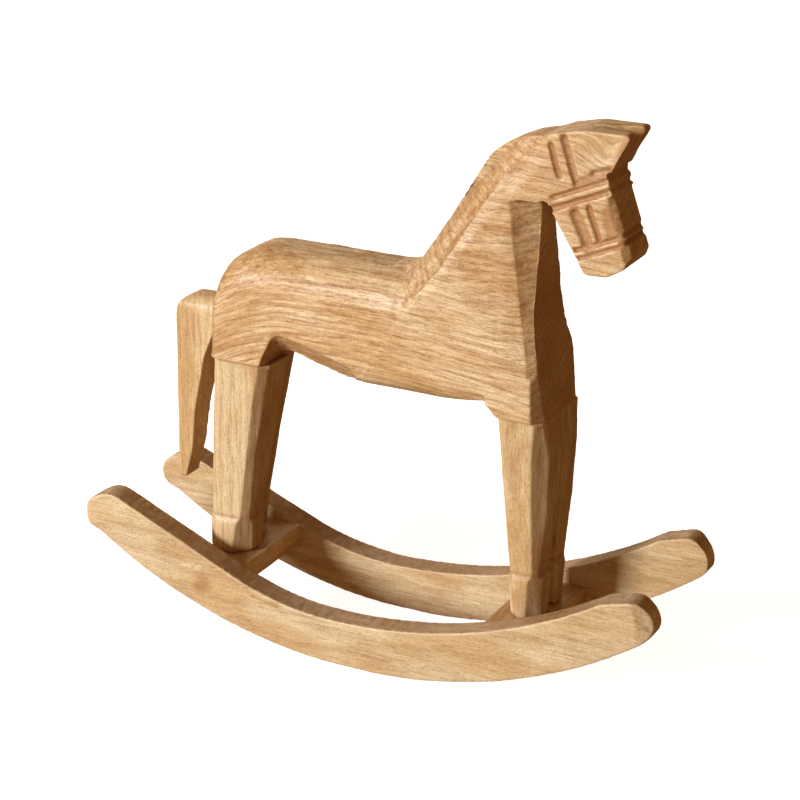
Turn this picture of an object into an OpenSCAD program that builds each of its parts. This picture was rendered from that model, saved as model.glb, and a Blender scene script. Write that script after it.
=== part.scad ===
// Small carved wooden rocking horse: one body block, four legs and a tail let in on dowels,
// standing on two crossbars between a pair of curved rockers.
// +X is the way the horse faces, +Y its left side, +Z up. The origin is midway along the
// rockers and between them, on the surface that the soles rest on.

/* [Rockers] */
// Length of each rocker from tip to tip
rocker_length = 199.6; // [196:0.2:203]
// Thickness of each rocker across the figure
rocker_thick = 9; // [8:0.5:11]
// Distance between the inner faces of the two rockers
rocker_gap = 37.6; // [36:0.2:42]
// Radius of the curved sole
sole_radius = 168; // [164:1:174]
// Length of the flat in the middle of the sole, which lets the horse stand still
sole_flat = 20; // [14:1:22]
// Centre of that flat on the right rocker
sole_x = -1.5; // [-3:0.5:0]
// Angle that the left rocker is turned nose-up by, about the centre of its curved sole
left_turn = 1.5; // [0:0.5:3]
// Distance that this centre lies behind the right rocker's
left_set_back = 3.1; // [0:0.1:5]
// Height of the top edge above the sole at its lowest place
rocker_depth = 15.5; // [14.5:0.5:16.5]

/* [Crossbars] */
// Thickness of each crossbar
bar_thick = 7; // [6:0.5:9]
// Width of each crossbar along the figure
bar_width = 18.5; // [17:0.5:20]
// Height of the crossbars' top faces
bar_top = 22.5; // [21.5:0.5:22.5]
// Centre of the rear crossbar
rear_bar_x = -53.5; // [-55:0.5:-52]
// Centre of the front crossbar
front_bar_x = 50.5; // [50:0.5:52]

/* [Horse] */
// Width of the torso
body_width = 31.4; // [30:0.2:34]
// Height of the back
back_z = 128.2; // [125.5:0.1:129.5]
// Height of the seam between body and hind legs
hind_seam_z = 90.5; // [89.5:0.5:91.5]
// Height of the seam between body and front legs
front_seam_z = 89; // [88:0.5:89.5]
// Radius that rounds the torso along the back
back_round = 13; // [10:0.5:14]
// Radius that rounds the torso along the belly
belly_round = 9; // [6:0.5:11]
// Width of the head at the brow
head_width = 18.4; // [17:0.2:20]
// Width of the mane's crest
crest_width = 10; // [8:0.5:12]
// Width of the tail where it meets the rump
tail_width = 12; // [11:0.5:13]

/* [Dowels] */
// Diameter of the dowels that hold the legs to the body
leg_dowel_d = 6; // [5:0.5:7]
// Diameter of the dowels in the hooves, the crossbars and the tail
small_dowel_d = 4; // [3:0.5:4]
// Glue gap on the diameter of each dowel
glue_gap = 0.2; // [0.1:0.05:0.3]

/* [Hidden] */

wood = "burlywood";
end_wood = "tan";
dowel_wood = "wheat";

half_body = body_width / 2;
half_head = head_width / 2;
half_crest = crest_width / 2;
half_tail = tail_width / 2;
rocker_inner = rocker_gap / 2;
rocker_outer = rocker_inner + rocker_thick;
rear_tip_x = -100;
front_tip_x = rear_tip_x + rocker_length;
reach = 300;
arc_step = 7.5;
sole_step = 1.5;

// Rump, head and leg positions
rump_x = -59.2;
rump_round = 4;
front_leg_x = 50;
hind_leg_x = -47.8;
front_hoof_x = 51;
hind_hoof_x = -53.6;
hoof_y = 7.2;
leg_y = 7.8;
tail_dowel_z = 102.8;
front_hoof_z = 36.1;
hind_hoof_z = 33.9;
front_hoof_outer = 11.8;
hind_hoof_outer = 12.6;
leg_slit = 0.3;
left_leg_slim = 4.4;

// Half-width of the neck and head: full up to the line x + z = taper_from, then narrowing to the
// brow, then slightly to the muzzle
taper_from = 153.5;
taper_to = 203.5;
muzzle_at = 222;
half_muzzle = half_head - 0.6;

// Depth of each dowel in each of the two pieces that it joins
leg_dowel_depth = 12;
foot_dowel_up = 8;
foot_dowel_down = 5.5;
bar_dowel_in = 8;
bar_dowel_out = 5.5;
tail_dowel_in = 9;
tail_dowel_out = 7;

// --- Outlines -------------------------------------------------------------------------------

function unit(v) = v / norm(v);
function flat(p) = [p[0], p[1]];
function turned(v, a) = [v.x * cos(a) - v.y * sin(a), v.x * sin(a) + v.y * cos(a)];

// Points of the arc of radius r that rounds corner b between its neighbours a and c
function corner_arc(a, b, c, r) =
    let (u = unit(a - b))
    let (w = unit(c - b))
    let (half = acos(u * w) / 2)
    let (centre = b + unit(u + w) * r / sin(half))
    let (start = b + u * r / tan(half) - centre)
    let (turn = -sign(cross(u, w)) * (180 - 2 * half))
    let (steps = max(2, ceil(abs(turn) / arc_step)))
    [for (i = [0 : steps]) centre + turned(start, turn * i / steps)];

// An outline from [x, z, radius] corners, each rounded by its own radius
function rounded(corners) =
    let (n = len(corners))
    [for (i = [0 : n - 1])
        let (p = corners[i])
        each p[2] > 0
            ? corner_arc(flat(corners[(i + n - 1) % n]), flat(p), flat(corners[(i + 1) % n]), p[2])
            : [flat(p)]];

// Corners along an arc about [x, z], from one x to another, on its lower side
function low_arc(x, z, r, x0, x1) =
    let (a0 = asin((x0 - x) / r))
    let (a1 = asin((x1 - x) / r))
    let (steps = ceil(abs(a1 - a0) / sole_step))
    [for (i = [0 : steps])
        let (a = a0 + (a1 - a0) * i / steps)
        [x + r * sin(a), z - r * cos(a), 0]];

// An X-Z outline extruded across the figure between two Y values
module between(y0, y1, outline) {
    translate([0, y1, 0])
        rotate([90, 0, 0])
            linear_extrude(height = y1 - y0)
                polygon(outline);
}

// A Y-Z outline extruded along the figure between two X values
module along(x0, x1, outline) {
    translate([x0, 0, 0])
        rotate([90, 0, 90])
            linear_extrude(height = x1 - x0)
                polygon(outline);
}

// A large block on the outer side of the plane through a, b and c, as the right-hand rule gives it
module beyond(a, b, c) {
    n = unit(cross(b - a, c - a));
    translate(a)
        rotate([0, acos(n.z), atan2(n.y, n.x)])
            translate([-reach, -reach, 0])
                cube([2 * reach, 2 * reach, reach]);
}

// A bar of diamond section from p to q: half_a is its half-size in the X-Z plane, half_y across
module groove(p, q, half_a, half_y) {
    v = q - p;
    translate(p)
        rotate([0, acos(v.z / norm(v)), atan2(v.y, v.x)])
            linear_extrude(height = norm(v))
                polygon([[half_a, 0], [0, half_y], [-half_a, 0], [0, -half_y]]);
}

// An upright rectangle in the X-Z plane
function span(x0, x1, z0, z1) = [[x0, z0], [x1, z0], [x1, z1], [x0, z1]];

module both_sides() {
    children();
    mirror([0, 1, 0])
        children();
}

// --- Body block -----------------------------------------------------------------------------

hind_cheek_x = -39.5;
front_cheek_x = 42;
chest_x = 56.8;

// The block that the body is carved from reaches past it below, above and in front
block_low = 80;
block_high = 200;
block_front = 90;
neck_root = [2, 106.5];

body_outline = rounded([
    [rump_x, hind_seam_z, 0],
    [rump_x, back_z, 20],
    [9.8, back_z + 0.4, 12],
    [34.3, 169.6, 18],
    [48, 175.5, 20],
    [64, 178.8, 10],
    [78.8, 179, 1.2],
    [73, 167.4, 0.4],
    [71.4, 166.9, 0.4],
    [73, 162.1, 6],
    [80, 142.8, 1],
    [78, 139.1, 2],
    [73, 136.1, 4],
    [66, 135.9, 2.5],
    [53.4, 156.1, 1.8],
    [50.2, 156.3, 1.6],
    [51.4, 142.9, 12],
    [52.2, 121.5, 40],
    [chest_x, front_seam_z, 0],
    [front_cheek_x, front_seam_z, 0],
    [37.6, 93, 2],
    [22, 89.9, 60],
    [-16, 89.7, 60],
    [-31, 94.1, 2],
    [-37, 94.9, 2],
    [hind_cheek_x, hind_seam_z, 0]
]);

// Section of the barrel, rounded along the back and along the belly
belly_z = 89.3;
barrel_section = rounded([
    [-half_body, belly_z, belly_round],
    [half_body, belly_z, belly_round],
    [half_body, back_z, back_round],
    [-half_body, back_z, back_round]
]);

// Plan of the rump end, its two upright edges rounded like the legs' below them
rump_plan = rounded([
    [rump_x, -half_body, rump_round],
    [block_front, -half_body, 0],
    [block_front, half_body, 0],
    [rump_x, half_body, rump_round]
]);

// Half-width of the head and neck at a place on the side
function side_y(x, z) =
    let (s = x + z)
    s < taper_from ? half_body
    : s < taper_to ? half_body + (half_head - half_body) * (s - taper_from) / (taper_to - taper_from)
    : half_head + (half_muzzle - half_head) * (s - taper_to) / (muzzle_at - taper_to);
function on_side(p) = [p[0], -side_y(p[0], p[1]), p[1]];

// Straps and cuts scored in each side of the head: from, to, half-width, depth
scores = [
    [[53.6, 173.7], [56.9, 163.9], 0.9, 0.9],
    [[57.6, 176.5], [62.4, 162.3], 1.1, 1.1],
    [[54.6, 157.6], [73.4, 165.7], 0.8, 0.8],
    [[54.4, 154.2], [74.2, 162.5], 0.9, 0.9],
    [[61.8, 154.9], [67.3, 144.3], 1.8, 1.2],
    [[66.3, 156.7], [70.4, 146.5], 1, 0.9],
    [[62.3, 142.8], [79.6, 149.9], 0.8, 0.8],
    [[63.5, 140.5], [80, 147.5], 0.7, 0.6],
    [[66.5, 166.5], [72.6, 168.1], 1, 1]
];

// The same straps where they cross the front of the face: place on the face's outline
face_scores = [[72.6, 165.3], [73.5, 162.1], [77.7, 149.3], [78.3, 147.1]];

// Volume of the torso, neck and head before it is carved: barrel, hind quarters, chest and neck
module body_blank() {
    along(rump_x - 1, chest_x + 5, barrel_section);
    between(-half_body, half_body, span(rump_x, hind_cheek_x + 2, block_low, back_z - back_round));
    between(-half_body, half_body, span(front_cheek_x - 4, block_front, block_low, neck_root[1] + 10));
    difference() {
        between(-half_body, half_body, span(neck_root[0], block_front, neck_root[1], block_high));
        both_sides() {
            mane_cuts();
        }
    }
}

// The mane's two sloping facets on the right side, from the withers and over the poll. They stop
// at the crest, which stands up between them
module mane_cuts() {
    intersection() {
        union() {
            beyond([17.5, -half_body, 127.6], [33.5, -11.5, 153], [20.8, -half_crest, 147]);
            beyond([33.5, -11.5, 153], [54.2, -8.8, 176.5], [42, -half_crest, 173.1]);
        }
        between(-half_body, -half_crest, span(neck_root[0], block_front, neck_root[1], block_high));
    }
}

// The block seen square to the line of the neck: full width, then the tapers of neck and head.
// Distances along it are those of the line x + z, so they are divided by the root of 2
module neck_taper() {
    half_plan = [
        [-reach, -half_body],
        [taper_from / sqrt(2), -half_body],
        [taper_to / sqrt(2), -half_head],
        [muzzle_at / sqrt(2), -half_muzzle],
        [reach, -half_muzzle + 2]
    ];
    rotate([0, -45, 0])
        linear_extrude(height = 2 * reach, center = true)
            polygon(concat(half_plan, [for (i = [4 : -1 : 0]) [half_plan[i].x, -half_plan[i].y]]));
}

// Facet between the side of the neck and its front, running out on the chest
throat_side_view = [[40, 102.5], [58, 102.5], [53, 155.5], [40, 155.5]];
module throat_facet() {
    intersection() {
        beyond([44.3, -11.9, 139.9], [56, -13, 102.5], [51.7, -6.4, 142.9]);
        between(-half_body, 0, throat_side_view);
    }
}

// Facet on the chest's front corner
chest_side_view = [[50, 86.5], [60, 86.5], [60, 110.5], [50, 110.5]];
module chest_facet() {
    intersection() {
        beyond([52.4, -half_body, 110.5], [53.4, -half_body, 86.5], [chest_x - 0.6, -half_body + 4, 96.5]);
        between(-half_body, 0, chest_side_view);
    }
}

// Facet down the edge between the side of the face and its front
face_side_view = span(60, block_front, 141, 160.5);
module face_facet() {
    intersection() {
        beyond([70.8, -half_muzzle, 162.1], [77.6, -half_muzzle, 142.8], [73, -half_muzzle + 2, 162.1]);
        between(-half_body, 0, face_side_view);
    }
}

// Facets that round the corner where the rump, the right flank and the back meet: each touches the
// same ball, facing a degrees round from the rump and b degrees up
rump_ball = 13;
module rump_facets() {
    intersection() {
        translate([rump_x + rump_ball, -half_body + rump_ball, back_z - rump_ball])
            for (a = [22, 45, 68])
                for (b = [22, 45, 68])
                    rotate([0, 0, 180 + a])
                        rotate([0, 90 - b, 0])
                            translate([-reach, -reach, rump_ball])
                                cube([2 * reach, 2 * reach, reach]);
        between(-half_body, 0, span(rump_x, rump_x + rump_ball, back_z - 2 * rump_ball, back_z));
    }
}

// Hollow cut upwards where the belly meets the hind leg
gouge_z = 103.1;
gouge_tilt = 45;
gouge_outline = rounded([
    [-42.6, -12, 0],
    [-34.6, 0, 4],
    [-8, -5, 0],
    [-8, -30, 0],
    [-42.6, -30, 0]
]);
module flank_gouge() {
    translate([0, -half_body, gouge_z])
        rotate([-gouge_tilt, 0, 0])
            between(-12, 14, gouge_outline);
}

module ear_gap() {
    groove([56, 0, 189.5], [84, 0, 177], 8, 4.6);
}

module horse_body() {
    color(wood)
        difference() {
            intersection() {
                between(-half_body, half_body, body_outline);
                linear_extrude(height = block_high)
                    polygon(rump_plan);
                body_blank();
                neck_taper();
            }
            both_sides() {
                throat_facet();
                chest_facet();
                face_facet();
                rump_facets();
                flank_gouge();
                for (s = scores)
                    groove(on_side(s[0]), on_side(s[1]), s[2], s[3]);
            }
            for (p = face_scores)
                groove([p[0], -half_body, p[1]], [p[0], half_body, p[1]], 0.9, 0.9);
            ear_gap();
            leg_dowel_holes();
            tail_dowel_at(glue_gap);
        }
}

// --- Tail -----------------------------------------------------------------------------------

tail_top = 106.8;
tail_tip = 41.7;
tail_outline = rounded([
    [rump_x, tail_top, 0],
    [rump_x, 99.9, 0],
    [-61.6, 97.3, 3],
    [-66, 86.5, 12],
    [-70.6, 66.5, 30],
    [-72.2, 52.5, 8],
    [-75.2, tail_tip, 1.2],
    [-78.2, tail_tip, 1.2],
    [-77.9, tail_top, 9]
]);
tail_front_view = rounded([
    [-half_tail, tail_top, 5],
    [-half_tail, 84.5, 0],
    [-half_tail + 2, tail_tip, 0],
    [half_tail - 2, tail_tip, 0],
    [half_tail, 84.5, 0],
    [half_tail, tail_top, 5]
]);

module tail() {
    color(wood)
        difference() {
            intersection() {
                between(-half_tail, half_tail, tail_outline);
                along(rump_x - 25, rump_x, tail_front_view);
            }
            both_sides() {
                beyond([-75.8, -half_tail, 102.5], [-77.9, -half_tail + 2, 102.5],
                    [-75.8, -half_tail, 84.5]);
                beyond([-64.4, -half_tail, 86.5], [-69.9, -half_tail + 1, 60.5],
                    [-62.4, -half_tail + 2.6, 86.5]);
            }
            tail_dowel_at(glue_gap);
        }
}

// --- Legs -----------------------------------------------------------------------------------

front_leg_outline = rounded([
    [42, front_seam_z, 0],
    [45.6, 42.5, 30],
    [46.2, front_hoof_z + 1.2, 0],
    [45.4, front_hoof_z, 0],
    [45.8, bar_top, 0],
    [56.2, bar_top, 0],
    [56.6, front_hoof_z, 0],
    [55.6, front_hoof_z + 1.2, 0],
    [57.6, 58.5, 30],
    [58.2, 76.5, 30],
    [chest_x, front_seam_z, 0]
]);
// Side view of a hind leg, its front edge set back by slim
function hind_leg_outline(slim) = rounded([
    [-58.2, hind_seam_z, 0],
    [-60.2, 60.5, 30],
    [-61.3, hind_hoof_z + 1.2, 0],
    [-62.1, hind_hoof_z, 0],
    [-62.2, bar_top, 1.5],
    [-47.4 - slim, bar_top, 1.5],
    [-46.4 - slim, hind_hoof_z, 0],
    [-47 - slim, hind_hoof_z + 1.2, 0],
    [-43.4 - slim, 60.5, 30],
    [-37.6 - slim, hind_seam_z, 0]
]);

// Front view of a left leg: meeting its neighbour at the top, apart above the hooves. notch_z is
// the height of the notch over the hoof, outer the reach of the leg's outer face there
function leg_front_view(seam_z, notch_z, outer) = [
    [leg_slit / 2, seam_z],
    [leg_slit / 2, 60.5],
    [3, notch_z + 1.2],
    [2, notch_z],
    [2.2, bar_top],
    [outer + 0.5, bar_top],
    [outer + 0.8, notch_z],
    [outer, notch_z + 1.2],
    [half_body - 0.6, 76.5],
    [half_body - 0.2, seam_z]
];

// Chamfer on an outer edge of a left leg. At the seam it runs from top[0] on the outer face to
// top[1] on the end face, depth inwards. At the notch over the hoof it starts from foot
module leg_chamfer(top, depth, seam_z, foot, notch_z, outer) {
    beyond([top[0], half_body - 0.2, seam_z], [top[1], half_body - depth, seam_z],
        [foot, outer, notch_z]);
}

module front_leg_left() {
    color(wood)
        difference() {
            intersection() {
                between(0, half_body, front_leg_outline);
                along(0, reach, leg_front_view(front_seam_z, front_hoof_z, front_hoof_outer));
            }
            leg_chamfer([54.4, chest_x], 2.8, front_seam_z, 53.6, front_hoof_z, front_hoof_outer);
            mirror([1, 0, 0])
                leg_chamfer([-43.7, -42], 1.6, front_seam_z, -47.1, front_hoof_z, front_hoof_outer);
            leg_dowel_at(front_leg_x, front_seam_z, glue_gap);
            foot_dowel_at(front_hoof_x, glue_gap);
        }
}

module hind_leg_left(slim) {
    color(wood)
        difference() {
            intersection() {
                between(0, half_body, hind_leg_outline(slim));
                along(-reach, 0, leg_front_view(hind_seam_z, hind_hoof_z, hind_hoof_outer));
            }
            leg_chamfer([-40.8 - slim, -37.6 - slim], 3.2, hind_seam_z,
                -50 - slim, hind_hoof_z, hind_hoof_outer);
            mirror([1, 0, 0])
                leg_chamfer([55.2, 58.2], 3, hind_seam_z, 59.3, hind_hoof_z, hind_hoof_outer);
            leg_dowel_at(hind_leg_x, hind_seam_z, glue_gap);
            foot_dowel_at(hind_hoof_x, glue_gap);
        }
}

module right_of() {
    mirror([0, 1, 0])
        children();
}

// --- Rockers and crossbars ------------------------------------------------------------------

top_x = -8;
top_front_radius = 170;
top_rear_radius = 92.5;
rear_top_corner = [-91, 42.7];
sole_centre_z = sqrt(pow(sole_radius, 2) - pow(sole_flat / 2, 2));
sole_front_x = front_tip_x - 3.4;
front_low_z = sole_centre_z - sqrt(pow(sole_radius, 2) - pow(sole_front_x - sole_x, 2));
rocker_outline = rounded(concat(
    low_arc(sole_x, sole_centre_z, sole_radius, rear_tip_x + 6, sole_front_x),
    [
        [front_tip_x, front_low_z + 2.9, 5],
        [front_tip_x, front_low_z + 8.5, 7],
        [front_tip_x - 5.5, front_low_z + 13.9, 5]
    ],
    low_arc(top_x, rocker_depth + top_front_radius, top_front_radius, front_tip_x - 16.4, top_x),
    low_arc(top_x, rocker_depth + top_rear_radius, top_rear_radius, top_x - 3, -44),
    [
        [rear_top_corner[0], rear_top_corner[1], 9],
        [rear_tip_x, 37.2, 6],
        [rear_tip_x, 29.5, 5]
    ]
));

// Facets on the outer edges of a rocker's two ends
module rocker_facets() {
    beyond([front_tip_x - 3, rocker_outer, 28.5], [front_tip_x - 7, rocker_outer, 44.5],
        [front_tip_x, rocker_outer - 2.4, 36.5]);
    beyond([rear_tip_x + 3, rocker_outer, 40.5], [rear_tip_x + 1.4, rocker_outer, 28.5],
        [rear_tip_x, rocker_outer - 1.2, 36.5]);
}

// A rocker on the left side, turned nose-up about the centre of its sole and set back, with its
// sole cut flat where it stands
module rocker(turn, set_back) {
    color(wood)
        difference() {
            translate([sole_x - set_back, 0, sole_centre_z])
                rotate([0, -turn, 0])
                    translate([-sole_x, 0, -sole_centre_z])
                        difference() {
                            between(rocker_inner, rocker_outer, rocker_outline);
                            rocker_facets();
                        }
            between(0, reach, span(-reach, reach, -sole_flat, 0));
            bar_dowel_at(front_bar_x, glue_gap);
            bar_dowel_at(rear_bar_x, glue_gap);
        }
}

module crossbar(x) {
    color(end_wood)
        difference() {
            translate([x - bar_width / 2, -rocker_inner, bar_top - bar_thick])
                cube([bar_width, rocker_gap, bar_thick]);
            both_sides() {
                bar_dowel_at(x, glue_gap);
                foot_dowel_at(x < 0 ? hind_hoof_x : front_hoof_x, glue_gap);
            }
        }
}

// --- Dowels, each with its hole when a gap is given ------------------------------------------

module leg_dowel_at(x, seam_z, gap = 0) {
    translate([x, leg_y, seam_z - leg_dowel_depth - gap / 2])
        cylinder(d = leg_dowel_d + gap, h = 2 * leg_dowel_depth + gap, $fn = 32);
}

module foot_dowel_at(x, gap = 0) {
    translate([x, hoof_y, bar_top - foot_dowel_down - gap / 2])
        cylinder(d = small_dowel_d + gap, h = foot_dowel_down + foot_dowel_up + gap, $fn = 32);
}

module bar_dowel_at(x, gap = 0) {
    translate([x, rocker_inner - bar_dowel_in - gap / 2, bar_top - bar_thick / 2])
        rotate([-90, 0, 0])
            cylinder(d = small_dowel_d + gap, h = bar_dowel_in + bar_dowel_out + gap, $fn = 32);
}

module tail_dowel_at(gap = 0) {
    translate([rump_x - tail_dowel_out - gap / 2, 0, tail_dowel_z])
        rotate([0, 90, 0])
            cylinder(d = small_dowel_d + gap, h = tail_dowel_out + tail_dowel_in + gap, $fn = 32);
}

module leg_dowel_holes() {
    both_sides() {
        leg_dowel_at(front_leg_x, front_seam_z, glue_gap);
        leg_dowel_at(hind_leg_x, hind_seam_z, glue_gap);
    }
}

module leg_dowel_left(x, seam_z) {
    color(dowel_wood)
        leg_dowel_at(x, seam_z);
}

module foot_dowel_left(x) {
    color(dowel_wood)
        foot_dowel_at(x);
}

module bar_dowel_left(x) {
    color(dowel_wood)
        bar_dowel_at(x);
}

module tail_dowel() {
    color(dowel_wood)
        tail_dowel_at();
}

// --- Assembly -------------------------------------------------------------------------------

horse_body();
tail();
front_leg_left();  // leg_front_left
right_of() front_leg_left();  // leg_front_right
hind_leg_left(left_leg_slim);  // leg_hind_left
right_of() hind_leg_left(0);  // leg_hind_right
crossbar(front_bar_x);  // crossbar_front
crossbar(rear_bar_x);  // crossbar_rear
rocker(left_turn, left_set_back);  // rocker_left
right_of() rocker(0, 0);  // rocker_right
tail_dowel();
leg_dowel_left(front_leg_x, front_seam_z);  // leg_dowel_front_left
right_of() leg_dowel_left(front_leg_x, front_seam_z);  // leg_dowel_front_right
leg_dowel_left(hind_leg_x, hind_seam_z);  // leg_dowel_hind_left
right_of() leg_dowel_left(hind_leg_x, hind_seam_z);  // leg_dowel_hind_right
foot_dowel_left(front_hoof_x);  // foot_dowel_front_left
right_of() foot_dowel_left(front_hoof_x);  // foot_dowel_front_right
foot_dowel_left(hind_hoof_x);  // foot_dowel_hind_left
right_of() foot_dowel_left(hind_hoof_x);  // foot_dowel_hind_right
bar_dowel_left(front_bar_x);  // bar_dowel_front_left
right_of() bar_dowel_left(front_bar_x);  // bar_dowel_front_right
bar_dowel_left(rear_bar_x);  // bar_dowel_rear_left
right_of() bar_dowel_left(rear_bar_x);  // bar_dowel_rear_right
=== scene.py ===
"""The looks of the carved wooden rocking horse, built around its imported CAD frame.

Each visible CAD node is copied, remeshed finely, and carved: edges are worn, knife strokes and
gouge cuts are pressed in, and the way the grain runs is stored at every vertex for the wood
materials. Lengths in this script are in millimetres, unless a name ends in _m or _M.
"""

import math

import bmesh
import bpy
import numpy as np
from mathutils import Matrix, Vector


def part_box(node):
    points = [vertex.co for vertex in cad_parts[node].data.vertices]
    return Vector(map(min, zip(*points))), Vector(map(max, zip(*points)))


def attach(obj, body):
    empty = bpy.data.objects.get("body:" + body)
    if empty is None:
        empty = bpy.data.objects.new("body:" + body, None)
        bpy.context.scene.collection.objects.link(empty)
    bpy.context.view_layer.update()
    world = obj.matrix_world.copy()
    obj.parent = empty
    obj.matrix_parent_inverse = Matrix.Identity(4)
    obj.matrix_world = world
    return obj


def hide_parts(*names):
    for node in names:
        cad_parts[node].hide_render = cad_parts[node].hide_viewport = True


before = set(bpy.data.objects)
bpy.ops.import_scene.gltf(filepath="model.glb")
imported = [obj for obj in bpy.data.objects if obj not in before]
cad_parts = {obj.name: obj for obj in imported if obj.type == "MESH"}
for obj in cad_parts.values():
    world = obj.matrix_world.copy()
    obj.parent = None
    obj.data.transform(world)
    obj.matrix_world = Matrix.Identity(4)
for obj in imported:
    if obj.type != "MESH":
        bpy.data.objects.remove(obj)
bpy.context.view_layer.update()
scene = bpy.context.scene
MM = 0.001
BODY = "root"


# --- Camera -------------------------------------------------------------------------------------

# Angles in degrees, lengths in millimetres
CAMERA_AZIMUTH = 27.0
CAMERA_ELEVATION = 21.0
CAMERA_ROLL = 0.7
CAMERA_DISTANCE = 752.2
CAMERA_TARGET = (1.884, 0.0, 82.17)
FOCAL_LENGTH = 108.03
SENSOR_WIDTH = 36.0


def make_camera():
    """The camera at the photograph's viewing angle, set by its azimuth, elevation and roll."""
    azimuth, elevation, roll = (
        math.radians(a) for a in (CAMERA_AZIMUTH, CAMERA_ELEVATION, CAMERA_ROLL)
    )
    back = Vector((
        math.sin(azimuth) * math.cos(elevation),
        -math.cos(azimuth) * math.cos(elevation),
        math.sin(elevation),
    ))
    level_right = Vector((math.cos(azimuth), math.sin(azimuth), 0))
    level_up = back.cross(level_right)
    right = math.cos(roll) * level_right + math.sin(roll) * level_up
    up = math.cos(roll) * level_up - math.sin(roll) * level_right
    data = bpy.data.cameras.new("camera")
    data.lens = FOCAL_LENGTH
    data.sensor_width = SENSOR_WIDTH
    data.clip_start = 0.01
    data.clip_end = 50
    camera = bpy.data.objects.new("camera", data)
    scene.collection.objects.link(camera)
    place = (Vector(CAMERA_TARGET) + CAMERA_DISTANCE * back) * MM
    camera.matrix_world = Matrix.Translation(place) @ Matrix((right, up, back)).transposed().to_4x4()
    scene.camera = camera


# --- Numpy helpers: noise and cells -------------------------------------------------------------

# Large odd numbers that scatter a lattice point and its seed over 32 bits, and stir the result
SCATTER_X, SCATTER_Y, SCATTER_Z, SCATTER_SEED = 73856093, 19349663, 83492791, 2654435761
STIR_FIRST, STIR_SECOND = 2246822519, 3266489917
LOW_32_BITS = 0xFFFFFFFF


def hashed(lattice, seed):
    """A repeatable number from 0 to 1 for each whole-number point of an (n, 3) array."""
    i = lattice.astype(np.int64)
    h = i[:, 0] * SCATTER_X ^ i[:, 1] * SCATTER_Y ^ i[:, 2] * SCATTER_Z ^ seed * SCATTER_SEED
    h &= LOW_32_BITS
    h = ((h ^ (h >> 15)) * STIR_FIRST) & LOW_32_BITS
    h = ((h ^ (h >> 13)) * STIR_SECOND) & LOW_32_BITS
    return (h ^ (h >> 16)) / (LOW_32_BITS + 1)


def noise(points, size, seed):
    """Smooth noise from -1 to 1; size is its scale along each axis, or one number for all."""
    p = points / np.asarray(size, float)
    low = np.floor(p)
    t = p - low
    t = t * t * (3 - 2 * t)
    total = np.zeros(len(p))
    for corner in np.ndindex(2, 2, 2):
        weight = np.prod(np.where(corner, t, 1 - t), axis=1)
        total += weight * hashed(low + corner, seed)
    return 2 * total - 1


def cell_distance(points, size, seed):
    """Distance to the nearest of one random point per cell, in cells; size is a cell's size."""
    p = points / np.asarray(size, float)
    low = np.floor(p)
    nearest = np.full(len(p), np.inf)
    for corner in np.ndindex(3, 3, 3):
        cell = low + np.array(corner) - 1
        centre = cell + np.stack([hashed(cell, seed + k) for k in range(3)], axis=1)
        nearest = np.minimum(nearest, ((p - centre) ** 2).sum(axis=1))
    return np.sqrt(nearest)


def smoothstep(low, high, value):
    """0 at low and 1 at high, with a smooth change between; low may be the greater."""
    t = np.clip((value - low) / (high - low), 0, 1)
    return t * t * (3 - 2 * t)


def segment_distance(points, a, b):
    """Distance from each point to the straight line from a to b."""
    a, b = np.asarray(a, float), np.asarray(b, float)
    along = np.clip(((points - a) @ (b - a)) / ((b - a) @ (b - a)), 0, 1)
    return np.linalg.norm(points - a - along[:, None] * (b - a), axis=1)


# --- Carved meshes ------------------------------------------------------------------------------

# Points nearer than this are one
WELD_M = 1e-6

# Shares of the way to its neighbours' mean that a softened vertex goes, and a worn one goes back
SOFTEN_PULL = 0.6
PUSH_BACK = 0.6

# How far a vertex on a fully sharp edge stands out from its neighbours' mean
SHARP_EDGE_LIFT = 0.05
CURVATURE_ROUNDS = 3

# Distances from a glued seam within which edges are fully sharp, and past which fully worn
SEAM_REACH = (0.3, 2.2)

# Scale of the growth rings' wandering along X, Y and Z
RING_WANDER_SIZE = (90, 40, 40)


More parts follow.
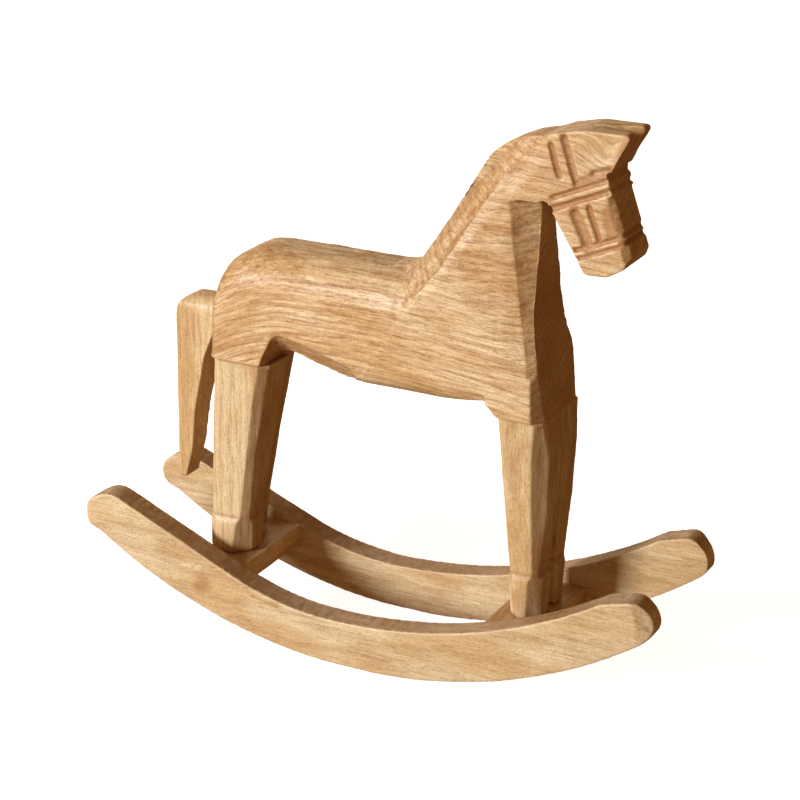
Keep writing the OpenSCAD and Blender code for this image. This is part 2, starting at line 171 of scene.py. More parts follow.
class Carving:
    """A fine copy of a CAD node, held as numpy arrays in millimetres while it is worked."""

    def __init__(self, node, voxel):
        self.node = node
        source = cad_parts[node].data.copy()
        source.materials.clear()
        welded = bmesh.new()
        welded.from_mesh(source)
        bmesh.ops.remove_doubles(welded, verts=welded.verts, dist=WELD_M)
        welded.to_mesh(source)
        welded.free()
        self.piece = bpy.data.objects.new(node + "_carved", source)
        scene.collection.objects.link(self.piece)
        remesh = self.piece.modifiers.new("fine", "REMESH")
        remesh.mode = "VOXEL"
        remesh.voxel_size = voxel * MM
        graph = bpy.context.evaluated_depsgraph_get()
        fine = bpy.data.meshes.new_from_object(self.piece.evaluated_get(graph))
        self.piece.modifiers.clear()
        self.piece.data = fine
        bpy.data.meshes.remove(source)
        count = len(fine.vertices)
        self.points = np.zeros(count * 3, np.float32)
        fine.vertices.foreach_get("co", self.points)
        self.points = self.points.reshape(-1, 3).astype(float) / MM
        edges = np.zeros(len(fine.edges) * 2, np.int32)
        fine.edges.foreach_get("vertices", edges)
        self.edges = edges.reshape(-1, 2)
        self.degree = np.bincount(self.edges.ravel(), minlength=count).clip(1)
        self.rest = self.points.copy()

    def average(self, values):
        """The mean of each vertex's neighbours' values."""
        a, b = self.edges.T
        n = len(self.degree)
        if values.ndim == 1:
            sums = np.bincount(a, values[b], n) + np.bincount(b, values[a], n)
            return sums / self.degree
        return np.stack([self.average(values[:, k]) for k in range(values.shape[1])], axis=1)

    def smooth(self, rounds, amount=0.55):
        """Wears the edges: each round pulls vertices together, then pushes them partly back."""
        for _ in range(rounds):
            self.points += amount * (self.average(self.points) - self.points)
            self.points -= PUSH_BACK * amount * (self.average(self.points) - self.points)

    def soften(self, where, rounds):
        """Rounds a region off: where is 1 inside it and 0 outside."""
        for _ in range(rounds):
            pull = self.average(self.points) - self.points
            self.points += SOFTEN_PULL * where[:, None] * pull

    def keep_seam(self, height, where=1.0):
        """Sharpens the worn edges again near a glued seam at that height."""
        worn = 1 - where * (1 - smoothstep(*SEAM_REACH, np.abs(self.rest[:, 2] - height)))
        self.points = self.rest + worn[:, None] * (self.points - self.rest)

    def normals(self):
        """The direction out of the surface at each vertex."""
        self.store_points()
        found = np.zeros(len(self.points) * 3, np.float32)
        self.piece.data.vertex_normals.foreach_get("vector", found)
        return found.reshape(-1, 3).astype(float)

    def push(self, depth):
        """Moves each vertex inwards along its normal by depth."""
        self.points -= self.normals() * depth[:, None]

    def store_points(self):
        """Writes the worked points into the Blender mesh."""
        self.piece.data.vertices.foreach_set("co", (self.points * MM).astype(np.float32).ravel())
        self.piece.data.update()

    def curvature(self):
        """Above 0 on edges and below 0 in cuts, about -1 to 1."""
        lift = ((self.points - self.average(self.points)) * self.normals()).sum(axis=1)
        for _ in range(CURVATURE_ROUNDS):
            lift = 0.5 * lift + 0.5 * self.average(lift)
        return np.clip(lift / SHARP_EDGE_LIFT, -1, 1)

    def attribute(self, name, values):
        """Stores one number or one vector for each vertex, for the materials to read."""
        kind = "FLOAT" if values.ndim == 1 else "FLOAT_VECTOR"
        field = "value" if values.ndim == 1 else "vector"
        made = self.piece.data.attributes.new(name, kind, "POINT")
        made.data.foreach_set(field, values.astype(np.float32).ravel())

    def finish(self, material, slot):
        """Writes the mesh and hands the piece over to the frame."""
        self.store_points()
        self.piece.data.shade_smooth()
        self.piece.data.materials.append(material)
        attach(self.piece, BODY)
        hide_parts(self.node)


def strokes(points, size, depth, seed):
    """Depth of overlapping knife strokes: shallow dishes of about that size with ridges between."""
    return depth * (1 - np.minimum(cell_distance(points, size, seed), 1) ** 2)


def scoop(points, centre, radius, depth):
    """Depth of a round-nosed gouge cut at a point of the surface."""
    away = np.linalg.norm(points - np.asarray(centre, float), axis=1)
    return depth * (1 - smoothstep(0.35, 1.0, away / radius))


def ring_space(points, along, pith, wander, seed):
    """Place in the tree: distance along the grain, distance from the pith, way round it.

    along is the grain's axis, pith its place on the two other axes, and wander how far the
    rings stray from circles.
    """
    first, second = [k for k in range(3) if k != along]
    u = points[:, along]
    v = points[:, first] - pith[0] + wander * noise(points, RING_WANDER_SIZE, seed)
    w = points[:, second] - pith[1] + wander * noise(points, RING_WANDER_SIZE, seed + 7)
    radius = np.hypot(v, w)
    return np.stack([u, radius, np.arctan2(v, w) * math.hypot(*pith)], axis=1)


# --- Wood materials -----------------------------------------------------------------------------

LIGHT_WOOD = (0.785, 0.605, 0.365)
HONEY_WOOD = (0.67, 0.445, 0.212)
PALE_WOOD = (0.78, 0.57, 0.33)
FIBRE_SHADE = (0.62, 0.46, 0.32)
STREAK_BROWN = (0.44, 0.225, 0.085)
# Sawn wood's darker brown, also used as painted shade on faces turned from the key light
SAWN_AND_SHADE_BROWN = (0.30, 0.145, 0.06)
# Painted shade in the hollows of the carving
HOLLOW_SHADE_BROWN = (0.27, 0.12, 0.045)
PORE_BROWN = (0.24, 0.105, 0.038)
# Reddish brown of stains and dirt, also used as painted shade at and under the ears
STAIN_AND_SHADE_RED = (0.38, 0.165, 0.052)

# Size of each feature of the wood: along the grain, across the rings, along the rings
WANDER_SIZE = (26, 7, 7)
BLOTCH_SIZE = (30, 13, 13)
STREAK_SIZE = (30, 1.3, 1.3)
FLECK_SIZE = (0.8, 0.5, 0.5)
FIBRE_SIZE = (13, 0.45, 0.45)
PORE_SIZE = (4.2, 0.24, 0.24)

# How far the rings wander, in rings, and where in a ring the early wood ends and begins again
RING_WANDER = 2.2
EARLY_WOOD_END = (0.12, 0.55)
EARLY_WOOD_START = (0.93, 1.0)

# How strongly each feature shows in the colour
STREAK_STRENGTH = 0.62
RING_STRENGTH = 0.4
FLECK_STRENGTH = 0.6
FIBRE_STRENGTH = 0.75
PORE_STRENGTH = 0.45
SAWN_AND_SHADE_STRENGTH = 0.72
HOLLOW_SHADE_STRENGTH = 0.85
EDGE_STRENGTH = 0.35
STAIN_AND_SHADE_STRENGTH = 0.8

# The oiled surface: roughness, with what the blotches and pores add, gloss, and fine relief
ROUGHNESS = 0.42
BLOTCH_ROUGHNESS = 0.22
PORE_ROUGHNESS = 0.25
SPECULAR = 0.42
OIL_COAT = 0.08
OIL_ROUGHNESS = 0.32
RELIEF_STRENGTH = 0.55
RELIEF_DEPTH = 0.16


def mixed(tree, kind, factor, a, b):
    """A colour Mix node; factor, a and b are sockets or plain values. Returns its result."""
    node = tree.nodes.new("ShaderNodeMix")
    node.data_type = "RGBA"
    node.blend_type = kind
    for socket, value in ((node.inputs[0], factor), (node.inputs[6], a), (node.inputs[7], b)):
        if isinstance(value, bpy.types.NodeSocket):
            tree.links.new(value, socket)
        elif isinstance(value, tuple):
            socket.default_value = (*value, 1)
        else:
            socket.default_value = value
    return node.outputs[2]


def maths(tree, operation, *values, clamp=False):
    """A Math node; its values are sockets or plain numbers. Returns its result."""
    node = tree.nodes.new("ShaderNodeMath")
    node.operation = operation
    node.use_clamp = clamp
    for socket, value in zip(node.inputs, values):
        if isinstance(value, bpy.types.NodeSocket):
            tree.links.new(value, socket)
        else:
            socket.default_value = value
    return node.outputs[0]


def stepped(tree, value, low, high):
    """0 below low and 1 above high, with a smooth change between."""
    node = tree.nodes.new("ShaderNodeMapRange")
    node.interpolation_type = "SMOOTHSTEP"
    node.inputs["From Min"].default_value = low
    node.inputs["From Max"].default_value = high
    tree.links.new(value, node.inputs["Value"])
    return node.outputs["Result"]


def grained_noise(tree, grain, size, detail=2.0, roughness=0.55):
    """Noise whose features measure size (along the grain, across the rings, along them)."""
    scale = tree.nodes.new("ShaderNodeVectorMath")
    scale.operation = "DIVIDE"
    scale.inputs[1].default_value = size
    tree.links.new(grain, scale.inputs[0])
    texture = tree.nodes.new("ShaderNodeTexNoise")
    texture.inputs["Scale"].default_value = 1
    texture.inputs["Detail"].default_value = detail
    texture.inputs["Roughness"].default_value = roughness
    tree.links.new(scale.outputs[0], texture.inputs["Vector"])
    return texture.outputs["Fac"]


def shaded(tree, colour, mask, strength, other, kind="MIX"):
    """The colour mixed with the other one, by up to strength where the mask is 1."""
    return mixed(tree, kind, maths(tree, "MULTIPLY", mask, strength), colour, other)


def stored(tree, name):
    """The Attribute node of a value that the carving stored."""
    node = tree.nodes.new("ShaderNodeAttribute")
    node.attribute_name = name
    return node


def grain_socket(tree, from_mesh):
    """The place in the wood in millimetres: stored on carved pieces, or the object's own place."""
    if from_mesh:
        return stored(tree, "grain").outputs["Vector"]
    place = tree.nodes.new("ShaderNodeTexCoord")
    scale = tree.nodes.new("ShaderNodeVectorMath")
    scale.operation = "SCALE"
    scale.inputs["Scale"].default_value = 1 / MM
    tree.links.new(place.outputs["Object"], scale.inputs[0])
    return scale.outputs[0]


def marked(tree, colour):
    """The colour of bare wood on a carved piece: sawn ends, worn edges, stains, and painted shade.
    """
    wear_and_shade = stored(tree, "wear_and_shade").outputs["Fac"]
    # Painted shade: darker in the hollows, found from the surface's curvature; edges paler as worn
    hollow_shade = stepped(tree, maths(tree, "MULTIPLY", wear_and_shade, -1.0), 0.12, 0.9)
    edge = stepped(tree, wear_and_shade, 0.25, 1.0)
    # Sawn end grain and edges darker, partly painted shade on faces turned from the key light
    colour = shaded(tree, colour, stored(tree, "sawn_and_shade").outputs["Fac"], SAWN_AND_SHADE_STRENGTH, SAWN_AND_SHADE_BROWN)
    colour = shaded(tree, colour, hollow_shade, HOLLOW_SHADE_STRENGTH, HOLLOW_SHADE_BROWN)
    colour = shaded(tree, colour, edge, EDGE_STRENGTH, PALE_WOOD)
    # Stains and dirt, with some painted shade at the ears
    return shaded(tree, colour, stored(tree, "stain_and_shade").outputs["Fac"], STAIN_AND_SHADE_STRENGTH, STAIN_AND_SHADE_RED)


def wood(name, ring=2.6, figure=1.0, tint=(1, 1, 1), from_mesh=True):
    """Oiled open-pored wood. ring is a growth ring's width, figure how strong the grain shows."""
    material = bpy.data.materials.new(name)
    material.use_nodes = True
    tree = material.node_tree
    shader = tree.nodes["Principled BSDF"]
    grain = grain_socket(tree, from_mesh)
    parts = tree.nodes.new("ShaderNodeSeparateXYZ")
    tree.links.new(grain, parts.inputs[0])

    # Growth rings: porous early wood at the start of each, fading into the late wood
    wander = grained_noise(tree, grain, WANDER_SIZE)
    rings_out = maths(tree, "DIVIDE", parts.outputs[1], ring)
    phase = maths(tree, "FRACT", maths(tree, "MULTIPLY_ADD", wander, RING_WANDER, rings_out))
    early = maths(tree, "SUBTRACT", 1.0, stepped(tree, phase, *EARLY_WOOD_END))
    early = maths(tree, "MAXIMUM", early, stepped(tree, phase, *EARLY_WOOD_START))

    # Colour: blotches, streaks, rings, flecks, fibres, pores
    blotch = grained_noise(tree, grain, BLOTCH_SIZE, detail=3)
    streak = grained_noise(tree, grain, STREAK_SIZE, detail=4, roughness=0.6)
    fleck = grained_noise(tree, grain, FLECK_SIZE, detail=3, roughness=0.75)
    fibre = grained_noise(tree, grain, FIBRE_SIZE, detail=4, roughness=0.7)
    pore = grained_noise(tree, grain, PORE_SIZE, detail=1, roughness=0.5)
    pore = maths(tree, "ADD", pore, maths(tree, "MULTIPLY", early, 0.05))
    pore_mask = stepped(tree, pore, 0.63, 0.72)
    streak_mask = stepped(tree, streak, 0.48, 0.68)
    fleck_mask = stepped(tree, fleck, 0.42, 0.7)
    fibre_mask = stepped(tree, fibre, 0.40, 0.66)
    colour = mixed(tree, "MIX", stepped(tree, blotch, 0.36, 0.62), LIGHT_WOOD, HONEY_WOOD)
    colour = shaded(tree, colour, streak_mask, STREAK_STRENGTH * figure, STREAK_BROWN)
    colour = shaded(tree, colour, early, RING_STRENGTH * figure, STREAK_BROWN)
    colour = shaded(tree, colour, fleck_mask, FLECK_STRENGTH, FIBRE_SHADE, "MULTIPLY")
    colour = shaded(tree, colour, fibre_mask, FIBRE_STRENGTH * figure, FIBRE_SHADE, "MULTIPLY")
    colour = shaded(tree, colour, pore_mask, PORE_STRENGTH * figure, PORE_BROWN)
    if from_mesh:
        colour = marked(tree, colour)
    colour = mixed(tree, "MULTIPLY", 1.0, colour, tint)
    tree.links.new(colour, shader.inputs["Base Color"])

    # Oiled surface, rougher in the pores
    gloss = maths(tree, "MULTIPLY_ADD", blotch, BLOTCH_ROUGHNESS, ROUGHNESS)
    gloss = maths(tree, "MULTIPLY_ADD", pore_mask, PORE_ROUGHNESS, gloss, clamp=True)
    tree.links.new(gloss, shader.inputs["Roughness"])
    shader.inputs["Specular IOR Level"].default_value = SPECULAR
    shader.inputs["Coat Weight"].default_value = OIL_COAT
    shader.inputs["Coat Roughness"].default_value = OIL_ROUGHNESS

    # Fine relief of pores and fibres
    relief = maths(tree, "MULTIPLY_ADD", pore_mask, -1.0, maths(tree, "MULTIPLY", fibre, -0.7))
    bump = tree.nodes.new("ShaderNodeBump")
    bump.inputs["Strength"].default_value = RELIEF_STRENGTH
    bump.inputs["Distance"].default_value = RELIEF_DEPTH * MM
    tree.links.new(relief, bump.inputs["Height"])
    tree.links.new(bump.outputs[0], shader.inputs["Normal"])
    return material


# --- Horse body ---------------------------------------------------------------------------------

BODY_VOXEL = 0.45
LIMB_VOXEL = 0.5

# Where each region of the body begins and is full: by z, by x, or by x + z, which grows from the
# withers to the muzzle
NECK_Z = (104, 118)
NECK_X = (8, 20)
HEAD_XZ = (196, 204)
MANE_END_XZ = (206, 214)
RUMP_X = (-22, -38)
RUMP_Z = (100, 110)
RUMP_ROUNDS = 110

# How far past a leg's top the body's seam is kept sharp
SEAM_MARGIN = 2
BODY_RING = 2.1
BODY_PITH = (58, 24)

# Knife strokes: size along X, Y and Z, depth, seed
BODY_STROKES = ((15, 8, 9), 0.10, 3)
NECK_STROKES = ((11, 5, 3.6), 0.22, 5)
MANE_STROKES = ((6, 4, 4), 0.3, 12)

# Cuts and dark patches in each side of the head, as [x, z] ends and half-width: the bridle's
# straps, the cheek's slots, and the fold under the ear, whose darkening is painted shade
HEAD_CUTS = [
    ((53.6, 173.7), (56.9, 163.9), 0.8),
    ((57.6, 176.5), (62.4, 162.3), 1.0),
    ((54.6, 157.6), (73.4, 165.7), 0.7),
    ((54.4, 154.2), (74.2, 162.5), 0.8),
    ((61.8, 154.9), (67.3, 144.3), 1.7),
    ((66.3, 156.7), (70.4, 146.5), 0.8),
    ((72.6, 155.6), (73.8, 149.4), 1.6),
    ((62.3, 142.8), (79.6, 149.9), 0.7),
    ((63.5, 140.5), (80.0, 147.5), 0.6),
    # The fold under the ear: a groove darkened as painted shade
    ((62.8, 163.4), (72.6, 168.0), 1.1),
]

# Where the straps cross the front of the face, as [x, z]
FACE_CUTS = [(72.6, 165.3), (73.5, 162.1), (77.7, 149.3), (78.3, 147.1)]

# The ear's middle and the size of its hollow, and the ends of its front edge
EAR_MIDDLE = (70, 0, 173)
EAR_HOLLOW_SIZE = (8.5, 1, 6.5)
EAR_TIP = (79, 0, 179)
EAR_ROOT = (73, 0, 167)

# The mane's lower edge as [x, z], and the cosine of its slope, one value for both stretches
MANE_WITHERS = (17.5, 127.6)
MANE_BEND = (33.5, 153)
MANE_POLL = (54.2, 176.5)
MANE_EDGE_COSINE = 0.6

# The ends of the darker streaks across each side of the neck
NECK_STREAKS = [
    ((35.5, 0, 146.6), (49, 0, 145.6)),
    ((27, 0, 137.8), (47.5, 0, 136.4)),
]

# Gouge cuts at each side of the throat and the withers: x, distance from the middle, z, radius
THROAT_SCOOPS = [(48.6, 9.4, 143, 9), (50.4, 10, 131, 10), (52.4, 10.8, 118, 11)]
WITHERS_SCOOPS = [(14.2, 13.4, 127.0, 4.6)]
SCOOP_DEPTH = 0.8

# The ends of the shallow groove behind the withers, on the left side
WITHERS_GROOVE = np.array([(3, 15.7, 124.5), (12, 15.7, 123.8)])
WITHERS_GROOVE_DEPTH = 0.4

# Where the grain begins to drop at the rump and to rise towards the neck, and how fast
GRAIN_DROP_X = -28
GRAIN_DROP = 0.011
GRAIN_RISE_X = 6
GRAIN_RISE = 0.08

# The swirl of the grain round the ears: middle, size and height
SWIRL_MIDDLE = (72, 0, 171)
SWIRL_SIZE = (12, 1, 9)
SWIRL_HEIGHT = 5


def carve_body():
    """The one block of torso, neck and head: knife strokes, mane, ears, cuts, stains and painted
    shade.
    """
    c = Carving("horse_body", BODY_VOXEL)
    c.smooth(2)
    p = c.rest
    x, z = p[:, 0], p[:, 2]
    neck = smoothstep(*NECK_Z, z) * smoothstep(*NECK_X, x)
    head = smoothstep(*HEAD_XZ, x + z)
    rise = mane_height(p)
    mane = smoothstep(-0.4, 0.6, rise) * (1 - 0.8 * smoothstep(*MANE_END_XZ, x + z))
    cuts = head_cuts(p)
    streaks = neck_streaks(p)
    c.soften(smoothstep(*RUMP_X, x) * smoothstep(*RUMP_Z, z), RUMP_ROUNDS)
    c.push(strokes(p, *BODY_STROKES) * (1 - 0.5 * head))
    c.push(neck * (1 - head) * (1 - mane) * strokes(p, *NECK_STROKES))
    c.push(mane_bevel(p, rise) + paired_scoops(p, THROAT_SCOOPS) + withers_cuts(p))
    c.push(mane * (0.15 * np.abs(noise(p, 1.6, 11)) + strokes(p, *MANE_STROKES)))
    c.push(ear_dish(p) + 0.25 * cuts + 0.22 * streaks)
    c.push(0.05 * (1 + noise(p, (14, 1.2, 1.2), 21)) * (1 - head))
    c.smooth(1, 0.35)
    for leg in ("leg_front_right", "leg_hind_right"):
        low, high = (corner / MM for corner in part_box(leg))
        ahead = low.x - SEAM_MARGIN < x
        behind = x < high.x + SEAM_MARGIN
        c.keep_seam(high.z, ahead & behind)

    c.attribute("grain", ring_space(grain_bend(p), 0, BODY_PITH, 1.5, 31))
    c.attribute("wear_and_shade", c.curvature())
    c.attribute("stain_and_shade", body_stain_and_shade(p, rise, mane, cuts, streaks, head))
    # End grain darker on the faces along X; on the chest and throat, turned from the key light, this
    # is also painted shade
    ends = smoothstep(0.2, 0.8, np.abs(c.normals()[:, 0]))
    c.attribute("sawn_and_shade", ends * (1 - 0.4 * head) * (0.75 + 0.2 * noise(p, 4, 45)))
    c.finish(wood("body_wood", ring=BODY_RING), "body_wood")


def body_stain_and_shade(p, rise, mane, cuts, streaks, head):
    """Darker in the head's cuts; painted shade under and along the front of each ear; dirt and oil
    in the neck streaks, specks low on the mane, and on the face.
    """
    specks = smoothstep(0.2, 0.5, noise(p, 1.5, 41)) * (1 - smoothstep(3, 6, rise))
    on_face = head * (1 - smoothstep(163, 168, p[:, 2]))
    # Darker in the head's cuts; in the fold under the ear this is painted shade
    stain_and_shade = 0.75 * streaks + 0.9 * mane * specks + 0.95 * cuts
    stain_and_shade += 0.4 * on_face * smoothstep(0.1, 0.8, noise(p, 5, 43))
    # Painted shade along the ears' front edges
    stain_and_shade += 0.6 * ear_front_shade(p)
    return np.clip(stain_and_shade, 0, 1)


def head_cuts(p):
    """1 in the cuts scored in the sides and front of the head, 0 elsewhere; the fold under the ear
    is painted shade.
    """
    flat = p * (1, 0, 1)
    mask = np.zeros(len(p))
    ragged = 0.25 * noise(p, 1.6, 47)
    on_side = smoothstep(7.2, 8.4, np.abs(p[:, 1]))
    for (x0, z0), (x1, z1), half in HEAD_CUTS:
        away = segment_distance(flat, (x0, 0, z0), (x1, 0, z1))
        mask = np.maximum(mask, on_side * (1 - smoothstep(0.6, 1.5, (away + ragged) / half)))
    for x, z in FACE_CUTS:
        away = np.hypot(p[:, 0] - x, p[:, 2] - z)
        mask = np.maximum(mask, 1 - smoothstep(0.4, 1.3, away + ragged))
    return mask


def ear_dish(p):
    """The hollow in each ear's outer face."""
    away = np.linalg.norm((p - EAR_MIDDLE) * (1, 0, 1) / EAR_HOLLOW_SIZE, axis=1)
    return 0.9 * (1 - smoothstep(0.1, 1.0, away)) * smoothstep(6, 8, np.abs(p[:, 1]))


def ear_front_shade(p):
    """Painted shade along the front edge of each ear, which faces away from the key light."""
    away = segment_distance(p * (1, 0, 1), EAR_TIP, EAR_ROOT)
    return 1 - smoothstep(1.2, 3.0, away + 0.5 * noise(p, 3, 49))


def height_on_line(x, start, end):
    """Height at x of the straight line through two [x, z] points, carried on past both."""
    return (x - start[0]) * (end[1] - start[1]) / (end[0] - start[0]) + start[1]


def mane_height(p):
    """How far a point lies above the lower edge of the mane, about square to it."""
    x, z = p[:, 0], p[:, 2]
    lower = height_on_line(x, MANE_WITHERS, MANE_BEND)
    upper = height_on_line(x, MANE_BEND, MANE_POLL)
    edge = np.where(x < MANE_BEND[0], lower, upper)
    wavy = 0.5 * noise(p * (1, 0, 1), 6, 57)
    return (z - edge) * MANE_EDGE_COSINE + wavy


def mane_bevel(p, rise):
    """The side of the neck cut back in strokes towards the mane, which lies a step deeper."""
    x, z = p[:, 0], p[:, 2]
    along = smoothstep(118, 126, z) * (1 - smoothstep(50, 56, x)) * smoothstep(14, 18, x)
    stroke = 0.75 + 0.35 * noise(p * (1, 0, 1), 5, 53)
    slope = smoothstep(-4.5, -0.3, rise) * (1 - smoothstep(-0.3, 0.1, rise))
    step = smoothstep(-0.3, 0.1, rise) * (1 - smoothstep(2.0, 5, rise))
    return along * (0.85 * stroke * slope + 0.75 * step)


def paired_scoops(p, scoops):
    """The same gouge cuts on both sides of the body."""
    depth = np.zeros(len(p))
    for side in (-1, 1):
        for x, y, z, radius in scoops:
            depth += scoop(p, (x, side * y, z), radius, SCOOP_DEPTH)
    return depth


def withers_cuts(p):
    """The gouge cuts and grooves that end the mane at the withers, on both sides."""
    depth = paired_scoops(p, WITHERS_SCOOPS)
    for side in (-1, 1):
        away = segment_distance(p, *(WITHERS_GROOVE * (1, side, 1)))
        depth += WITHERS_GROOVE_DEPTH * (1 - smoothstep(0.2, 3.2, away))
    return depth


def neck_streaks(p):
    """Two darker streaks across each side of the neck."""
    flat = p * (1, 0, 1)
    first, second = (segment_distance(flat, *ends) for ends in NECK_STREAKS)
    ragged = 0.4 * noise(p, (6, 6, 1.2), 51)
    mask = 1 - smoothstep(0.2, 1.0, np.minimum(first, second) + ragged)
    return mask * smoothstep(8, 10, np.abs(p[:, 1]))


def grain_bend(p):
    """The grain drops at the rump's end, rises gently into the neck and curves round the ears."""
    bent = p.copy()
    behind = np.clip(GRAIN_DROP_X - p[:, 0], 0, None)
    bent[:, 2] += GRAIN_DROP * behind**2
    ahead = np.clip(p[:, 0] - GRAIN_RISE_X, 0, None)
    bent[:, 2] += GRAIN_RISE * ahead
    away = np.linalg.norm((p - SWIRL_MIDDLE) * (1, 0, 1) / SWIRL_SIZE, axis=1)
    bent[:, 2] += SWIRL_HEIGHT * (1 - smoothstep(0, 1, away))
    return bent


# --- Legs and tail ------------------------------------------------------------------------------

# Height of the notch over each hoof, how far above it a dark line is drawn, and the heights at
# which stained patches begin and are full
NOTCH_Z = {"front": 36.1, "hind": 33.9}
DARK_LINE_RISE = 1.6
PATCHES_Z = (60, 24)


def carve_upright(node, seed):
    """A leg or the tail: vertical grain, flat knife facets, a rounded edge."""
    foot, top = (corner.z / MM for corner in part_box(node))
    c = Carving(node, LIMB_VOXEL)
    c.smooth(2)
    p = c.rest
    height = p[:, 2]
    c.push(strokes(p, (5, 5, 14), 0.16, seed))
    c.push(0.04 * (1 + noise(p, (1.2, 1.2, 16), seed + 1)))
    if node != "tail":
        c.keep_seam(top)
    c.attribute("grain", ring_space(p, 2, (40, 36), 1.2, seed + 2))
    c.attribute("wear_and_shade", c.curvature())
    patches = smoothstep(0.3, 0.8, noise(p, (6, 6, 10), seed + 3))
    stain_and_shade = 0.8 * patches * smoothstep(*PATCHES_Z, height)
    stain_and_shade += 0.7 * smoothstep(1.6, 0.3, height - foot)
    if node != "tail":
        dark_line_z = NOTCH_Z["front" if "front" in node else "hind"] + DARK_LINE_RISE
        stain_and_shade += 0.5 * smoothstep(1.0, 0.2, np.abs(height - dark_line_z))
        stain_and_shade += 0.7 * smoothstep(0.5, 0.1, top - height)
    c.attribute("stain_and_shade", np.clip(stain_and_shade, 0, 1))
    # Painted shade: the forward faces, turned from the key light, darkened; the grain runs upright,
    # so they are not end grain
    ahead = smoothstep(0.25, 0.8, c.normals()[:, 0])
    c.attribute("sawn_and_shade", ahead * (0.55 + 0.25 * noise(p, (3, 3, 14), seed + 4)))
    return c


def carve_legs():
    """Four legs, with plainer grain than the body's."""
    material = wood("leg_wood", figure=0.55, tint=(0.95, 0.97, 0.97))
    legs = ("leg_front_left", "leg_front_right", "leg_hind_left", "leg_hind_right")
    for k, node in enumerate(legs):
        carve_upright(node, 60 + 10 * k).finish(material, "leg_wood")


def carve_tail():
    """The tail, in a slightly darker wood than the legs."""
    material = wood("tail_wood", figure=0.6, tint=(0.91, 0.9, 0.86))
    carve_upright("tail", 110).finish(material, "tail_wood")


# --- Crossbars, rockers and dowels --------------------------------------------------------------

# Marks on the right rocker, as [x, z]: the knot's middle, and the ends of the crack and saw mark
KNOT = (-55, 17)
KNOT_SIZE = (6.0, 3, 4.6)
CRACK = ((-37, 17.2), (-27, 15.6))
SAW_MARK = ((-38.5, 19.6), (-36, 19.4))


def carve_bars():
    """Two flat boards with the grain across the horse."""
    material = wood("crossbar_wood", ring=3.0, figure=0.7)
    for k, node in enumerate(("crossbar_front", "crossbar_rear")):
        c = Carving(node, LIMB_VOXEL)
        c.smooth(2)
        c.push(strokes(c.rest, (6, 12, 6), 0.12, 130 + k))
        c.attribute("grain", ring_space(c.rest, 1, (30, 50), 1.0, 140 + k))
        c.attribute("wear_and_shade", c.curvature())
        c.attribute("stain_and_shade", np.zeros(len(c.rest)))
        # Painted shade: the top faces darkened, as under a low key light
        c.attribute("sawn_and_shade", 0.4 * smoothstep(0.5, 0.95, c.normals()[:, 2]))
        c.finish(material, "crossbar_wood")


def carve_rockers():
    """Two curved boards, sawn rough along their top edges and soles, which are darker: partly the
    sawn wood's own colour, partly painted shade on the top edges.
    """
    material = wood("rocker_wood", ring=4.0, figure=0.55, tint=(0.94, 0.98, 1.04))
    for k, node in enumerate(("rocker_left", "rocker_right")):
        c = Carving(node, LIMB_VOXEL)
        c.smooth(5)
        p = c.rest
        c.push(strokes(p, (16, 9, 8), 0.14, 150 + k))
        sawn_face = smoothstep(0.45, 0.85, np.abs(c.normals()[:, 2]))
        c.push(sawn_face * 0.1 * (1 + noise(p, (1.1, 3, 1.1), 152 + k)))
        c.attribute("grain", ring_space(p, 0, (70, 60), 2.0, 160 + k))
        c.attribute("wear_and_shade", c.curvature())
        c.attribute("stain_and_shade", np.clip(0.85 * rocker_knot(p) + rocker_marks(p), 0, 1))
        # Top edges and soles darker: rough sawn wood, and painted shade on the top edges
        c.attribute("sawn_and_shade", sawn_face * (0.85 + 0.3 * noise(p, 2, 175 + k)))
        c.finish(material, "rocker_wood")


def at_y(place, y):
    """The point at y that an [x, z] place names."""
    return (place[0], y, place[1])


def rocker_knot(p):
    """A small orange knot near the rear of the right rocker's outer face."""
    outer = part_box("rocker_right")[0].y / MM
    away = np.linalg.norm((p - at_y(KNOT, outer)) / KNOT_SIZE, axis=1)
    return 1 - smoothstep(0.3, 1.0, away + 0.35 * noise(p, 3, 171))


def rocker_marks(p):
    """A crack along the grain of the right rocker's outer face, and a saw mark over its top edge."""
    outer, inner = (corner.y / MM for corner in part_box("rocker_right"))
    from_crack = segment_distance(p, at_y(CRACK[0], outer), at_y(CRACK[1], outer))
    from_mark = segment_distance(p, at_y(SAW_MARK[0], outer), at_y(SAW_MARK[1], inner))
    ragged = 0.15 * noise(p, 1.5, 173)
    crack = 0.9 * (1 - smoothstep(0.1, 0.7, from_crack + ragged))
    return crack + 0.8 * (1 - smoothstep(0.1, 0.8, from_mark + ragged))


def finish_dowels():
    """The hidden dowels keep their CAD meshes and get a plain light wood."""
    material = wood("dowel_wood", from_mesh=False, tint=(1.1, 1.12, 1.15))
    for name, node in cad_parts.items():
        if "dowel" in name:
            for slot in node.material_slots:
                slot.material = material


# --- Studio -------------------------------------------------------------------------------------

FLOOR_SIZE_M = 8
WALL_HEIGHT_M = 3.0
FLOOR_WHITE = 0.86
FLOOR_GLOW = 0.88
FLOOR_ROUGHNESS = 0.9
ROOM_COLOUR = (1.0, 0.5, 0.16, 1)
ROOM_STRENGTH = 0.23


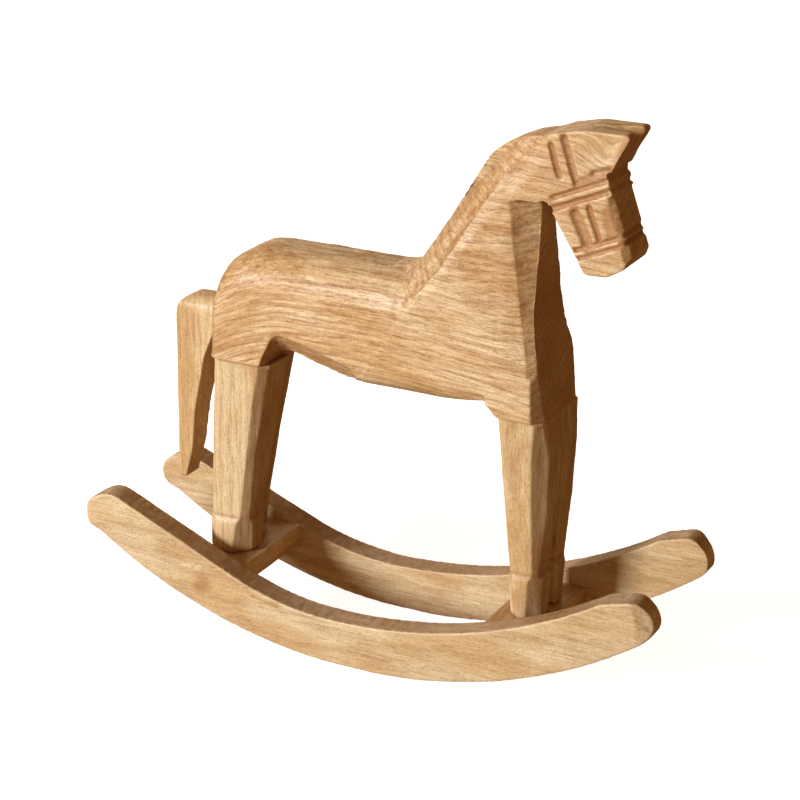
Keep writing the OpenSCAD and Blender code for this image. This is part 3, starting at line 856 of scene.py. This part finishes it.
def make_studio():
    """A plain pale floor with pale walls. Diffuse rays miss them, so their glow lights nothing."""
    material = bpy.data.materials.new("floor_paper")
    material.use_nodes = True
    shader = material.node_tree.nodes["Principled BSDF"]
    shader.inputs["Base Color"].default_value = (FLOOR_WHITE, FLOOR_WHITE, FLOOR_WHITE, 1)
    shader.inputs["Roughness"].default_value = FLOOR_ROUGHNESS
    shader.inputs["Emission Color"].default_value = (1, 1, 1, 1)
    shader.inputs["Emission Strength"].default_value = FLOOR_GLOW
    half = FLOOR_SIZE_M / 2
    floor = [(-half, -half, 0), (half, -half, 0), (half, half, 0), (-half, half, 0)]
    top = [(x, y, WALL_HEIGHT_M) for x, y, _ in floor]
    stage_sheet("floor", floor, [(0, 1, 2, 3)], material)
    sides = [(0, 1, 5, 4), (1, 2, 6, 5), (2, 3, 7, 6), (3, 0, 4, 7)]
    walls = stage_sheet("walls", floor + top, sides, material)
    walls.visible_shadow = False


def stage_sheet(name, corners, faces, material):
    """Flat faces of the studio, which the camera sees and diffuse and glossy rays don't."""
    mesh = bpy.data.meshes.new(name)
    mesh.from_pydata(corners, [], faces)
    mesh.materials.append(material)
    sheet = bpy.data.objects.new(name, mesh)
    scene.collection.objects.link(sheet)
    sheet.visible_diffuse = False
    sheet.visible_glossy = False
    return sheet


def softbox(name, direction, distance_m, size_m, power, colour):
    """A square area light that looks at the middle of the horse from that direction."""
    data = bpy.data.lights.new(name, "AREA")
    data.shape = "SQUARE"
    data.size = size_m
    data.energy = power
    data.color = colour
    lamp = bpy.data.objects.new(name, data)
    scene.collection.objects.link(lamp)
    away = Vector(direction).normalized()
    lamp.location = Vector(CAMERA_TARGET) * MM + away * distance_m
    lamp.rotation_mode = "QUATERNION"
    lamp.rotation_quaternion = away.to_track_quat("Z", "Y")


def make_lights():
    """A cool key at the horse's right and rear, two warm fills, and a warm room around them."""
    softbox("key", (-0.52, -0.85, 0.24), distance_m=1.7, size_m=0.45, power=38.0,
            colour=(0.97, 1.0, 1.0))
    softbox("fill", (0.3, -1.0, 0.3), distance_m=1.4, size_m=0.8, power=1.2,
            colour=(1, 0.86, 0.7))
    softbox("back_fill", (-0.7, 0.9, 0.3), distance_m=1.3, size_m=0.9, power=4.2,
            colour=(1, 0.78, 0.52))
    world = bpy.data.worlds.new("studio")
    world.use_nodes = True
    background = world.node_tree.nodes["Background"]
    background.inputs["Color"].default_value = ROOM_COLOUR
    background.inputs["Strength"].default_value = ROOM_STRENGTH
    scene.world = world
    scene.view_settings.view_transform = "Standard"


# --- Everything, in order -----------------------------------------------------------------------

make_camera()
carve_body()
carve_tail()
carve_legs()
carve_bars()
carve_rockers()
finish_dowels()
make_studio()
make_lights()
